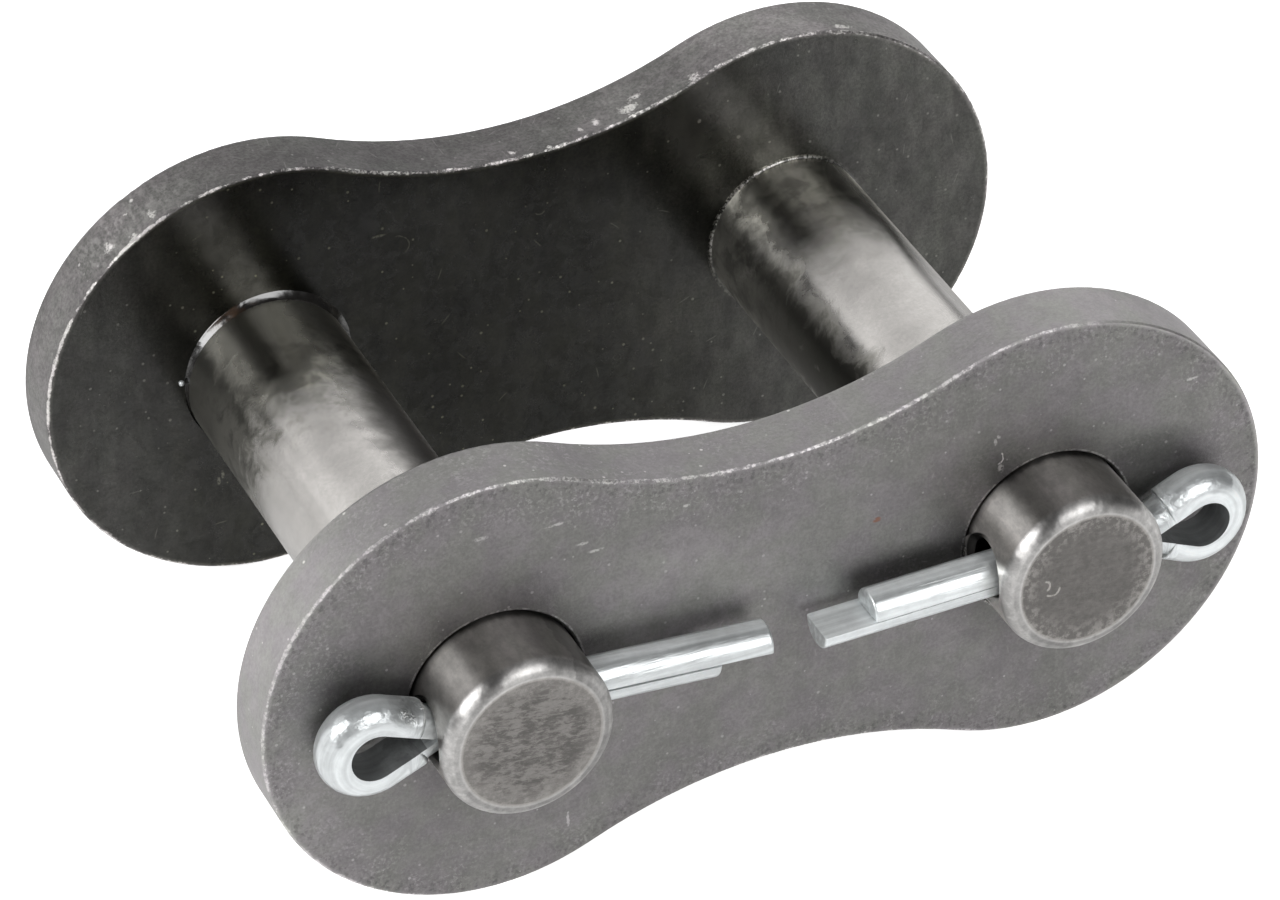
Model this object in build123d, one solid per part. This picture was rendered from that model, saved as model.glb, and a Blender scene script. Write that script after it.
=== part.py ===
from build123d import *
import math
import os

# A connecting link for a heavy single-strand roller chain, with split-pin fastening.
# Two waisted side plates stand on edge. Two round pins are pressed and riveted in the
# pin plate (+Y) and slip through the cover plate (-Y). A split pin through the free end
# of each pin keeps the cover plate on.
#
# Frame: millimetres. X runs along the chain, Y along the pins, Z up. The origin is the
# middle of the link: halfway between the pin axes and halfway between the plates.

# ---- side plates ---------------------------------------------------------------------
PITCH = 31.75                 # from pin axis to pin axis
PLATE_THICKNESS = 3.8
PLATE_GAP = 28.0              # clear width between the plates, for the roller links
LOBE_RADIUS = 12.85           # the round ends of a plate, about the pin axes
WAIST_DEPTH = 3.25            # how far each long side dips in at the middle
ROLLED_EDGE_RADIUS = 0.35     # edge drawn round where the punch entered, at the back
SHEARED_EDGE_BREAK = 0.1      # slight break on the sheared edge, at the front

# ---- pins ----------------------------------------------------------------------------
PIN_DIAMETER = 9.53
PIN_END_MARGIN = 1.4          # solid pin between the cross-hole and the free end
PIN_END_RADIUS = 0.8          # rounding of the free end
COVER_CLEARANCE = 0.12        # radial slip clearance of the cover plate on the pins
RIVET_PROJECTION = 0.9        # riveted end, past the outer face of the pin plate
RIVET_SPREAD = 0.45           # how far the riveted head spreads past the pin, radially
RIVET_EDGE_RADIUS = 0.6

# ---- split pins, folded from D-section wire with the flat inside ---------------------
LEG_RADIUS = 1.2              # each leg is half of a round bar
EYE_WIRE_RADIUS = 1.25        # the eye keeps more of the round than the legs do
EYE_FLAT_OFFSET = 0.25        # how far the eye's flat lies past the wire's centre
EYE_INNER_RADIUS = 1.37       # the round end of the eye's opening
LEG_BEND_RADIUS = 8.0         # a gentle bend where the legs leave the link pin
NECK_BEND_RADIUS = 1.5        # the bend from a leg into the eye
LEG_TIP_RADIUS = 0.15         # rounding of a cropped leg

# ---- how the split pins sit ----------------------------------------------------------
HOLE_CLEARANCE = 0.45         # radial clearance of a cross-hole round the legs
HOLE_COUNTERSINK = 0.25       # widening of each mouth of a cross-hole, radially
PLATE_CLEARANCE = 0.45        # between the legs and the cover plate
SEAT_CLEARANCE = 0.08         # left under the legs where they lie against their hole

# Each split pin has its own small differences. The tips are distances from the middle
# of the link. The neck is where the legs part, measured out from the link pin's side.
# "eye" runs from the neck to the centre of the eye's round end, and "shoulder" from the
# neck to where the wire thickens. "slit" is the space between the legs, "droop" the
# angle by which they bend down past the link pin, and "lie" the side of the cross-hole
# that they touch: +1 is the top and -1 the bottom.
SPLIT_PINS = {
    "left": {
        "upper_tip": 1.4, "lower_tip": 4.35, "neck": -0.35, "eye": 3.35, "shoulder": 0.85,
        "shoulder_radius": 0.3, "slit": 0.12, "droop": 4.7, "lie": 1,
    },
    "right": {
        "upper_tip": 4.5, "lower_tip": 1.55, "neck": 0.1, "eye": 3.25, "shoulder": 1.5,
        "shoulder_radius": 0.1, "slit": 0.05, "droop": 0.9, "lie": -1,
    },
}
SIDES = {"left": -1, "right": 1}

# ---- sizes that follow from those above ----------------------------------------------
HALF_PITCH = PITCH / 2
PIN_RADIUS = PIN_DIAMETER / 2
HOLE_RADIUS = LEG_RADIUS + HOLE_CLEARANCE
PLATE_INNER_Y = PLATE_GAP / 2
PLATE_OUTER_Y = PLATE_INNER_Y + PLATE_THICKNESS
SPLIT_PIN_Y = -(PLATE_OUTER_Y + PLATE_CLEARANCE + LEG_RADIUS)
PIN_FRONT_Y = SPLIT_PIN_Y - HOLE_RADIUS - PIN_END_MARGIN
RIVET_BACK_Y = PLATE_OUTER_Y + RIVET_PROJECTION
PIN_INNER_SIDE = HALF_PITCH - PIN_RADIUS
PIN_OUTER_SIDE = HALF_PITCH + PIN_RADIUS


def plate_outline():
    """The waisted outline of a plate: two lobes joined by arcs tangent to both."""
    waist_half = LOBE_RADIUS - WAIST_DEPTH
    waist_radius = (waist_half**2 + HALF_PITCH**2 - LOBE_RADIUS**2) / (2 * WAIST_DEPTH)
    lobe_share = LOBE_RADIUS / (LOBE_RADIUS + waist_radius)
    tangent_x = HALF_PITCH * (1 - lobe_share)
    tangent_z = (waist_half + waist_radius) * lobe_share
    end_x = HALF_PITCH + LOBE_RADIUS
    top_left = (-tangent_x, tangent_z)
    top_right = (tangent_x, tangent_z)
    bottom_right = (tangent_x, -tangent_z)
    bottom_left = (-tangent_x, -tangent_z)
    return make_face([
        ThreePointArc(top_left, (0, waist_half), top_right),
        ThreePointArc(top_right, (end_x, 0), bottom_right),
        ThreePointArc(bottom_right, (0, -waist_half), bottom_left),
        ThreePointArc(bottom_left, (-end_x, 0), top_left),
    ])


def side_plate(hole_radius, front_y):
    """A blanked plate whose front face is at front_y, with a hole for each pin."""
    blank = plate_outline()
    for x in (-HALF_PITCH, HALF_PITCH):
        blank -= Pos(x, 0) * Circle(hole_radius)
    plate = extrude(blank, PLATE_THICKNESS)
    back_rim = plate.faces().sort_by(Axis.Z)[-1].outer_wire().edges()
    plate = fillet(back_rim, ROLLED_EDGE_RADIUS)
    front_edges = plate.faces().sort_by(Axis.Z)[0].edges()
    plate = chamfer(front_edges, SHEARED_EDGE_BREAK)
    standing = Plane(origin=(0, front_y, 0), x_dir=(1, 0, 0), z_dir=(0, 1, 0))
    return standing * plate


def bar_along_y(radius, front_y, back_y):
    """A round bar along Y."""
    bar = Cylinder(radius, back_y - front_y)
    return Pos(0, (front_y + back_y) / 2, 0) * Rot(90, 0, 0) * bar


def link_pin(side):
    """A pin: rounded free end in front, riveted head behind, a cross-hole along X."""
    shank = bar_along_y(PIN_RADIUS, PIN_FRONT_Y, PLATE_OUTER_Y)
    shank = fillet(shank.edges().sort_by(Axis.Y)[0], PIN_END_RADIUS)
    head = bar_along_y(PIN_RADIUS + RIVET_SPREAD, PLATE_OUTER_Y, RIVET_BACK_Y)
    head = fillet(head.edges().sort_by(Axis.Y)[-1], RIVET_EDGE_RADIUS)
    pin = shank + head
    pin -= Pos(0, SPLIT_PIN_Y, 0) * Rot(0, 90, 0) * Cylinder(HOLE_RADIUS, 2 * PIN_DIAMETER)
    # The pin is round, so a mouth's edge dips in by "sag": the cone starts below that.
    sag = PIN_RADIUS - math.sqrt(PIN_RADIUS**2 - HOLE_RADIUS**2)
    depth = sag + HOLE_COUNTERSINK
    countersink = Cone(HOLE_RADIUS, HOLE_RADIUS + depth, depth)
    for end in (-1, 1):
        mouth = Pos(end * (PIN_RADIUS - depth / 2), SPLIT_PIN_Y, 0)
        pin -= mouth * Rot(0, end * 90, 0) * countersink
    return Pos(side * HALF_PITCH, 0, 0) * pin


def wire_section(start, along, radius, flat_offset, crown):
    """A D section square to the wire: its flat on the path, its crown up or down."""
    half_flat = math.sqrt(radius**2 - flat_offset**2)
    round_side = ThreePointArc(
        (-half_flat, 0), (0, crown * (radius + flat_offset)), (half_flat, 0)
    )
    flat_side = Line((half_flat, 0), (-half_flat, 0))
    square_to_wire = Plane(origin=start, x_dir=(0, 1, 0), z_dir=along)
    return square_to_wire * make_face([round_side, flat_side])


def eye_limb(size):
    """Where the upper limb's flat has its neck and shoulder, and where it meets the
    round end of the eye. The lower limb is its mirror image."""
    half_slit = size["slit"] / 2
    neck = Vector(PIN_OUTER_SIDE + size["neck"], 0, half_slit)
    centre = Vector(neck.X + size["eye"], 0, 0)
    to_centre = math.atan2(half_slit, size["eye"])
    slope = math.asin(EYE_INNER_RADIUS / (centre - neck).length) - to_centre
    along = Vector(math.cos(slope), 0, math.sin(slope))
    shoulder = neck + along * size["shoulder"]
    meeting = centre + Vector(-along.Z, 0, along.X) * EYE_INNER_RADIUS
    return neck, shoulder, meeting, centre


def flipped(point):
    """The same point on the lower limb."""
    return Vector(point.X, point.Y, -point.Z)


def eye_loop(size):
    """The eye: one sweep of the wire from the lower shoulder round to the upper one."""
    neck, shoulder, meeting, centre = eye_limb(size)
    far_end = centre + Vector(EYE_INNER_RADIUS, 0, 0)
    path = Wire([
        Line(flipped(shoulder), flipped(meeting)),
        ThreePointArc(flipped(meeting), far_end, meeting),
        Line(meeting, shoulder),
    ])
    along = flipped(meeting) - flipped(shoulder)
    section = wire_section(flipped(shoulder), along, EYE_WIRE_RADIUS, EYE_FLAT_OFFSET, -1)
    loop = sweep(section, path=path)
    cut_faces = loop.faces().filter_by(GeomType.PLANE).sort_by(Axis.X)[:2]
    rims = [face.edges().filter_by(GeomType.CIRCLE)[0] for face in cut_faces]
    return fillet(rims, size["shoulder_radius"])


def leg(size, crown):
    """One leg, from its cropped tip to inside the eye: crown +1 is upper, -1 lower."""
    neck, shoulder, meeting, centre = eye_limb(size)
    inside_eye = (shoulder + meeting) / 2
    if crown < 0:
        neck = flipped(neck)
        inside_eye = flipped(inside_eye)
    bend = Vector(PIN_INNER_SIDE, 0, neck.Z)
    tip_x = size["upper_tip"] if crown > 0 else size["lower_tip"]
    drop = (bend.X - tip_x) * math.tan(math.radians(size["droop"]))
    tip = Vector(tip_x, 0, bend.Z - drop)
    path = FilletPolyline(
        tip, bend, neck, inside_eye, radius=[LEG_BEND_RADIUS, NECK_BEND_RADIUS]
    )
    bar = sweep(wire_section(tip, bend - tip, LEG_RADIUS, 0, crown), path=path)
    tip_face = bar.faces().filter_by(GeomType.PLANE).sort_by(Axis.X)[0]
    return fillet(tip_face.edges().filter_by(GeomType.CIRCLE), LEG_TIP_RADIUS)


def split_pin(size, side):
    """A split pin in the cross-hole of one link pin, with its eye outwards."""
    folded = eye_loop(size) + leg(size, 1) + leg(size, -1)
    if side < 0:
        folded = mirror(folded, about=Plane.YZ)
    play = HOLE_CLEARANCE - size["slit"] / 2 - SEAT_CLEARANCE
    return Pos(0, SPLIT_PIN_Y, size["lie"] * play) * folded


def link_pieces():
    """Every piece of the link, by name."""
    pieces = {
        "pin_plate": side_plate(PIN_RADIUS, PLATE_INNER_Y),
        "cover_plate": side_plate(PIN_RADIUS + COVER_CLEARANCE, -PLATE_OUTER_Y),
    }
    for name, side in SIDES.items():
        pieces[name + "_link_pin"] = link_pin(side)
        pieces[name + "_split_pin"] = split_pin(SPLIT_PINS[name], side)
    return pieces


os.makedirs("parts", exist_ok=True)
for node, solid in link_pieces().items():
    export_step(solid, os.path.join("parts", node + ".step"))
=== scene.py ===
# %% [markdown]
# # Dressing a chain connecting link
#
# The link joins the two ends of a roller chain. Two waisted plates stand on edge, two round
# pins cross the space between them, and a split pin through the free end of each keeps the
# front plate on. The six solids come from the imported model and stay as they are. This script
# gives them their steel, oil and zinc, adds what is too fine for solids, and sets up a studio.

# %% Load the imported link
import math

import bpy
from mathutils import Matrix, Vector


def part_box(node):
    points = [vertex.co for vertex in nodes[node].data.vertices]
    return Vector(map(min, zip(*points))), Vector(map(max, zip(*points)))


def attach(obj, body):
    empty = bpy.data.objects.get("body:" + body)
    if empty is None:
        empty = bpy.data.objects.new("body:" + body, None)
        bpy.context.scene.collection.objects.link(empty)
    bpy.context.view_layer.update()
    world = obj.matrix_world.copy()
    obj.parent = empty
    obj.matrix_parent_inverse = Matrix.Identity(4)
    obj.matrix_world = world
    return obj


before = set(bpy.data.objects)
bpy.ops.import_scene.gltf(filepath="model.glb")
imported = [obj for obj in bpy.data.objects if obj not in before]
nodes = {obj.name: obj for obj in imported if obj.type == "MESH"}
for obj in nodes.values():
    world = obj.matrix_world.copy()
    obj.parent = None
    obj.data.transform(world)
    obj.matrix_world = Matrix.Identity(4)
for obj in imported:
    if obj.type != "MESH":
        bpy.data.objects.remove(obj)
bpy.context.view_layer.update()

print("pieces from the packed model:", ", ".join(sorted(nodes)))

# %% [markdown]
# ## Sizes that the finishes need
#
# Wear follows the shape: edges are rubbed bright, oil creeps out of the joints, and wire is
# drawn along its length. So the finishes have to know where the edges and the pins are. Most
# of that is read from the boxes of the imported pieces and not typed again, so that the
# finishes follow when the link changes.

# %% Measure the link, in millimetres
def box_mm(name):
    """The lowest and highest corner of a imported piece, in millimetres."""
    low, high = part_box(name)
    return low * 1000, high * 1000


cover_low, cover_high = box_mm("cover_plate")
inner_low, inner_high = box_mm("pin_plate")
pin_low, pin_high = box_mm("right_link_pin")
HALF_PITCH = (pin_low.x + pin_high.x) / 2
LOBE_RADIUS = cover_high.x - HALF_PITCH
WAIST_DEPTH = 3.25
PIN_RADIUS = 4.765
PIN_FRONT = pin_low.y
COVER_FRONT = cover_low.y
COVER_BACK = cover_high.y
INNER_FRONT = inner_low.y
INNER_BACK = inner_high.y
FLOOR_Z = cover_low.z
print(f"half the pitch {HALF_PITCH:.3f}, lobes {LOBE_RADIUS:.2f}, between the plates "
      f"{INNER_FRONT - COVER_BACK:.1f}")

# %% [markdown]
# ## The camera
#
# The link is seen from the left, in front and above, with a long lens, so its edges stay
# almost parallel. A camera could be aimed with a Track To constraint. Here its three axes are
# worked out and written into its matrix, because that also takes the small roll.

# %% Place the camera
VIEW_AZIMUTH = math.radians(23.66)      # turned from straight in front
VIEW_ELEVATION = math.radians(35.71)
VIEW_ROLL = math.radians(-1.306)
VIEW_DISTANCE = 0.32925                 # metres from the middle of the link
VIEW_OFFSET = (0.00030, -0.00105)       # metres across and up, to frame the link
LENS = 170.6


def camera_axes():
    """The camera's right, up and forward directions."""
    forward = Vector((
        math.sin(VIEW_AZIMUTH) * math.cos(VIEW_ELEVATION),
        math.cos(VIEW_AZIMUTH) * math.cos(VIEW_ELEVATION),
        -math.sin(VIEW_ELEVATION),
    ))
    level = Vector((math.cos(VIEW_AZIMUTH), -math.sin(VIEW_AZIMUTH), 0))
    roll = Matrix.Rotation(-VIEW_ROLL, 3, forward)
    right = roll @ level
    return right, right.cross(forward), forward


right, up, forward = camera_axes()
bpy.ops.object.camera_add()
camera = bpy.context.object
camera.name = "camera"
axes = Matrix((right, up, -forward)).transposed().to_4x4()
axes.translation = right * VIEW_OFFSET[0] + up * VIEW_OFFSET[1] - forward * VIEW_DISTANCE
camera.matrix_world = axes
camera.data.sensor_width = 36
camera.data.lens = LENS
camera.data.clip_start = 0.01
camera.data.clip_end = 20
bpy.context.scene.camera = camera
print("camera at", [round(value, 4) for value in axes.translation])

# %% [markdown]
# ## The studio
#
# Bright metal shows what stands round it, so the lamps are large soft boxes: a strong one on
# the left, one in front to the right, and a wide, weaker one behind. A long low card closes
# the gap above the floor at the back left, which the pins' flanks mirror. The camera's side
# stays dark, which gives the pins their dark bands. Plain sky light alone would make the steel
# look like grey plastic. A lamp's power is worked out from the brightness wanted on its face,
# so a box can change its size and still look as bright in the steel.

# %% Build the studio
LAMP_DISTANCE = 0.9
SOFT_BOXES = {
    # azimuth and elevation in degrees, width and height in metres, brightness
    "left_box": (-78, 34, 0.58, 0.52, 5.6),
    "front_box": (17, 34, 0.54, 0.52, 3.9),
    "back_box": (172, 30, 1.80, 0.66, 1.4),
    "low_card": (-137, 9, 1.30, 0.28, 1.1),
}


def soft_box(name, azimuth, elevation, width, height, brightness):
    """A rectangular lamp aimed at the link. Azimuth 0 is in front, 90 on the right."""
    turn, lift = math.radians(azimuth), math.radians(elevation)
    towards = Vector((
        math.sin(turn) * math.cos(lift), -math.cos(turn) * math.cos(lift), math.sin(lift)
    ))
    bpy.ops.object.light_add(type="AREA", location=towards * LAMP_DISTANCE)
    lamp = bpy.context.object
    lamp.name = name
    lamp.rotation_euler = towards.to_track_quat("Z", "Y").to_euler()
    lamp.data.shape = "RECTANGLE"
    lamp.data.size = width
    lamp.data.size_y = height
    lamp.data.energy = brightness * math.pi * width * height
    return lamp


for name, settings in SOFT_BOXES.items():
    soft_box(name, *settings)
print(f"{len(SOFT_BOXES)} soft boxes, {LAMP_DISTANCE} m from the link")

# %% [markdown]
# ## The floor and the air
#
# The link stands on the lower edges of its plates. A plane is enough for the floor. The air
# is almost black: light from there would wash out the dark bands in the pins.

# %% Set up the floor and the air round it
FLOOR_SIZE = 6.0                        # metres
FLOOR_GAP = 0.00002                     # keeps the floor out of the plates' edges
bpy.ops.mesh.primitive_plane_add(
    size=FLOOR_SIZE, location=(0, 0, FLOOR_Z / 1000 - FLOOR_GAP)
)
floor = bpy.context.object
floor.name = "floor"

world = bpy.data.worlds.new("studio_air")
bpy.context.scene.world = world
world.use_nodes = True
air = world.node_tree.nodes["Background"]
air.inputs["Color"].default_value = (1, 1, 1, 1)
air.inputs["Strength"].default_value = 0.05
bpy.context.scene.view_settings.view_transform = "Standard"
print("floor at", round(floor.location.z * 1000, 3), "mm")

# %% [markdown]
# ## A small kit for shader nodes
#
# Every finish below is made of nodes. Placing each one by hand takes three or four lines, so
# these functions lay a node, fill its inputs and link them in one call. What runs from node
# to node is a Signal. Arithmetic with signals lays Math nodes, so a finish reads like the
# sum that it is.

# %% Lay nodes and reckon with signals
class Signal:
    """The output of a node. Arithmetic with it lays a Math node in the same tree."""

    def __init__(self, socket):
        self.socket = socket

    def __add__(self, other):
        return maths("ADD", self, other)

    def __sub__(self, other):
        return maths("SUBTRACT", self, other)

    def __rsub__(self, other):
        return maths("SUBTRACT", other, self)

    def __mul__(self, other):
        return maths("MULTIPLY", self, other)

    def __truediv__(self, other):
        return maths("DIVIDE", self, other)

    def __rtruediv__(self, other):
        return maths("DIVIDE", other, self)

    def __abs__(self):
        return maths("ABSOLUTE", self)


def fill(socket, value):
    """Link a signal to an input, or set the input to a number, a tuple or a colour."""
    if isinstance(value, Signal):
        socket.id_data.links.new(value.socket, socket)
    else:
        socket.default_value = value


def lay(kind, inputs, tree=None, **settings):
    """Lay a node in the tree that its signals come from. Inputs go by name or by number."""
    sources = [value.socket for value in inputs.values() if isinstance(value, Signal)]
    tree = tree or sources[0].id_data
    node = tree.nodes.new("ShaderNode" + kind)
    for name, value in settings.items():
        setattr(node, name, value)
    for key, value in inputs.items():
        fill(node.inputs[key], value)
    return node


def signals(node):
    """The outputs of a node, by name."""
    return {socket.name: Signal(socket) for socket in node.outputs}


def maths(operation, *values):
    return Signal(lay("Math", dict(enumerate(values)), operation=operation).outputs[0])


def most(value, *others):
    """The highest of several values."""
    for other in others:
        value = maths("MAXIMUM", value, other)
    return value


def vector(operation, *values):
    node = lay("VectorMath", dict(enumerate(values)), operation=operation)
    return signals(node)["Value" if operation in ("LENGTH", "DOT_PRODUCT") else "Vector"]


def length_of(place):
    return vector("LENGTH", place)


def parts(place):
    """The x, y and z of a vector."""
    return [Signal(socket) for socket in lay("SeparateXYZ", {0: place}).outputs]


def joined(x, y, z):
    return Signal(lay("CombineXYZ", {0: x, 1: y, 2: z}).outputs[0])


def rotated(place, axis, angle):
    inputs = {"Vector": place, "Angle": angle}
    return Signal(lay("VectorRotate", inputs, rotation_type=axis + "_AXIS").outputs[0])


def coloured(value, tint):
    """A grey of this value, times a tint."""
    return vector("MULTIPLY", joined(value, value, value), tint)


print("signals know +, -, *, / and abs")

# %% [markdown]
# ## Soft steps, blotches and mixes
#
# Nearly every mask here is a soft step on a distance or on a noise. A Map Range node set to
# Smooth Step does that in one node, and runs downwards too. A noise is easier to choose by
# the size of its blotches than by a scale, so that is what this kit takes.

# %% Steps, noises, mixes and groups
def step(value, start, end, low=0.0, high=1.0):
    """A soft step: low up to start, high from end on."""
    inputs = {"Value": value, "From Min": start, "From Max": end, "To Min": low, "To Max": high}
    return Signal(lay("MapRange", inputs, interpolation_type="SMOOTHSTEP").outputs[0])


def fade(value, start, end):
    """A soft step down: one up to start, nothing from end on."""
    return step(value, start, end, 1, 0)


def noise(place, size, detail=2.0, roughness=0.5, warp=0.0):
    """Soft blotches about size across, from 0 to 1."""
    inputs = {"Vector": place, "Scale": 1 / size, "Detail": detail, "Roughness": roughness,
              "Distortion": warp}
    return signals(lay("TexNoise", inputs))["Fac"]


MIXES = ["FLOAT", "VECTOR", "RGBA"]     # a Mix node has a pair of inputs for each


def mix(kind, mask, below, above):
    """From below to above as the mask goes from 0 to 1."""
    order = MIXES.index(kind)
    first = 2 + 2 * order
    node = lay("Mix", {0: mask, first: below, first + 1: above}, data_type=kind)
    return Signal(node.outputs[order])


def blend(mask, low, high):
    return mix("FLOAT", mask, low, high)


def painted(mask, below, above):
    return mix("RGBA", mask, below, above)


def grouped(name, **inputs):
    """The outputs of a node group, with its inputs filled."""
    return signals(lay("Group", inputs, node_tree=bpy.data.node_groups[name]))


SOCKETS = {float: "NodeSocketFloat", tuple: "NodeSocketVector"}


def new_group(name, inputs, outputs, kind="NodeSocketFloat"):
    """Start a node group. Inputs give a default each: a number, or a tuple for a vector."""
    tree = bpy.data.node_groups.new(name, "ShaderNodeTree")
    for key, value in inputs.items():
        socket = tree.interface.new_socket(
            name=key, in_out="INPUT", socket_type=SOCKETS[type(value)]
        )
        socket.default_value = value
    for key in outputs:
        tree.interface.new_socket(name=key, in_out="OUTPUT", socket_type=kind)
    entry = signals(tree.nodes.new("NodeGroupInput"))
    exits = tree.nodes.new("NodeGroupOutput").inputs

    def leave(**values):
        for key, value in values.items():
            fill(exits[key], value)

    return entry, leave


HERE = (0.0, 0.0, 0.0)
print("node kit ready")

# %% [markdown]
# ## How far a point is from a plate's outline
#
# A punched plate shines along its edge, where it rubs against other links in the box. The
# shader has to know how near the edge a point is. A painted mask would also do. Here the
# outline is two round lobes joined by two hollow arcs, so the distance is simple geometry:
# the gap to the lobe's circle near the ends, and to the waist's circle in the middle. It is
# positive inside the plate and zero on its rim. A second group gives the distance from the
# axis of the nearer pin, for wear round the holes.

# %% Groups: distance from the plate's outline and from the pins
waist_half = LOBE_RADIUS - WAIST_DEPTH
waist_radius = (waist_half**2 + HALF_PITCH**2 - LOBE_RADIUS**2) / (2 * WAIST_DEPTH)
waist_centre = waist_half + waist_radius

entry, leave = new_group("plate_outline", {"Position": HERE}, ["Inward", "Rim"])
x, _, z = parts(entry["Position"])
across = abs(x)
height = abs(z)
from_lobe = length_of(joined(across - HALF_PITCH, height, 0))
from_waist = length_of(joined(across, height - waist_centre, 0))
# The line between the two centres tells which arc a point belongs to.
side = across / HALF_PITCH + height / waist_centre
on_lobe = maths("GREATER_THAN", side, 1)
inward_lobe = LOBE_RADIUS - from_lobe
inward_waist = from_waist - waist_radius
inward = on_lobe * (inward_lobe - inward_waist) + inward_waist
leave(Inward=inward, Rim=fade(inward, 0.05, 0.35))

entry, leave = new_group("pin_distance", {"Position": HERE}, ["Distance"])
x, _, z = parts(entry["Position"])
leave(Distance=length_of(joined(abs(x) - HALF_PITCH, z, 0)))
print(f"waist: {waist_half:.2f} mm half high, {waist_radius:.2f} mm radius")

# %% [markdown]
# ## Steel that has been rolled, tumbled and blackened
#
# Blackened steel isn't one colour. It has soft clouds a few millimetres across, a mottle of
# about a millimetre, a fine grain from the scale, and a drift of the tint from purple to
# olive, which the blackening salts leave. Noise textures give all four. Small Voronoi cells
# give the pale specks where a grain has chipped through. The group also puts out a relief in
# millimetres, for the grain in the highlights.

# %% Groups: the grain of blackened steel and its tint
entry, leave = new_group(
    # The clouds' and grains' sizes and the specks' spacing are in millimetres.
    "steel_grain", {"Position": HERE, "Clouds": 5.0, "Grains": 0.2, "Spacing": 0.62},
    ["Cloud", "Mottle", "Grain", "Hue", "Speck", "Relief"],
)
place = entry["Position"]
cloud = step(noise(place, entry["Clouds"], detail=5, roughness=0.6), 0.36, 0.64)
mottle = step(noise(place, entry["Grains"] * 4, detail=5, roughness=0.7), 0.34, 0.66)
grain = step(noise(place, entry["Grains"], detail=4, roughness=0.7), 0.3, 0.7)
elsewhere = vector("ADD", place, (31.0, 17.0, 5.0))
hue = step(noise(elsewhere, 2.4, detail=5, roughness=0.65), 0.38, 0.62)
cells = signals(lay("TexVoronoi", {"Vector": place, "Scale": 1 / entry["Spacing"]}))
size_draw, bright_draw, _ = parts(cells["Color"])
speck_size = step(size_draw, 0.3, 1.0, 0.03, 0.17)
speck = fade(cells["Distance"] - speck_size, -0.06, 0.0)
GRAIN_DEPTH = 0.008
leave(Cloud=cloud, Mottle=mottle, Grain=grain, Hue=hue, Speck=speck * bright_draw,
      Relief=grain * GRAIN_DEPTH)

entry, leave = new_group(
    "drifting_tint", {"Value": 0.5, "Hue": 0.5, "Purple": HERE, "Olive": HERE}, ["Colour"],
    kind="NodeSocketColor",
)
tint = painted(entry["Hue"], entry["Purple"], entry["Olive"])
leave(Colour=coloured(entry["Value"], tint))
print("steel grain", GRAIN_DEPTH, "mm deep")

# %% [markdown]
# ## Short scratches
#
# Parts that are shipped loose scratch each other. The marks are short, straight or slightly
# hooked, and lie every way. Long stretched noise would give one direction only. Instead each
# Voronoi cell gets one scratch: the cell's centre is its middle, and the cell's random colour
# turns it, bends it and decides whether it is there at all.

# %% Group: short scratches on a flat pattern
entry, leave = new_group(
    "short_scratches",
    {"Flat": HERE, "Spacing": 2.0, "Length": 1.0, "Width": 0.05, "Share": 0.5,
     "Lie": 0.0, "Spread": 1.0, "Hook": 0.3},
    ["Mask"],
)
inputs = {"Vector": entry["Flat"], "Scale": 1 / entry["Spacing"]}
cells = signals(lay("TexVoronoi", inputs, voronoi_dimensions="2D"))
turn_draw, share_draw, hook_draw = parts(cells["Color"])
local = vector("SUBTRACT", entry["Flat"], cells["Position"])
spread = (turn_draw - 0.5) * entry["Spread"]
turn = spread * math.tau + entry["Lie"]
along, off, _ = parts(rotated(local, "Z", turn))
hook = (hook_draw - 0.5) * entry["Hook"]
bend = hook * (along * along)
off = abs(off + bend)
reach = abs(along) / entry["Length"]
thin = fade(off / entry["Width"], 0.3, 1.0)
short = fade(reach, 0.2, 0.5)
there = maths("LESS_THAN", share_draw, entry["Share"])
leave(Mask=thin * short * there)
print("short scratches: one to a cell")

# %% [markdown]
# ## The bright line along a plate's edge, and single knocks
#
# The press leaves a sharp burr on the front edge, and tumbling rubs it to a thin bright line
# of uneven width, broken into crumbs. A knock is a small bright patch with a ragged border,
# at a place of its own. A curl is a hair-thin arc, left by a turning edge or by a swirl of
# grit. A soft patch has no border at all: it stands for a smear of grease or a dull spot. A
# thin ring runs round the mouth of a hole, and crumbs break up a mask that looks too clean.
# All of them are masks that the finishes share.

# %% Groups: crumbs, a ring, the bright edge, a knock, a curl and a soft patch
entry, leave = new_group(
    "crumbs", {"Position": HERE, "Size": 0.2, "Start": 0.38, "End": 0.56}, ["Mask"]
)
fine = noise(entry["Position"], entry["Size"], detail=3, roughness=0.7)
leave(Mask=step(fine, entry["Start"], entry["End"]))


def crumbs(point, size, start=0.38, end=0.56):
    """A fine broken pattern, to keep a mask from looking painted."""
    return grouped("crumbs", Position=point, Size=size, Start=start, End=end)["Mask"]


entry, leave = new_group("thin_ring", {"Distance": 0.0, "Radius": 1.0, "Width": 0.1}, ["Mask"])
off = abs(entry["Distance"] - entry["Radius"])
leave(Mask=fade(off / entry["Width"], 0.4, 1))

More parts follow.
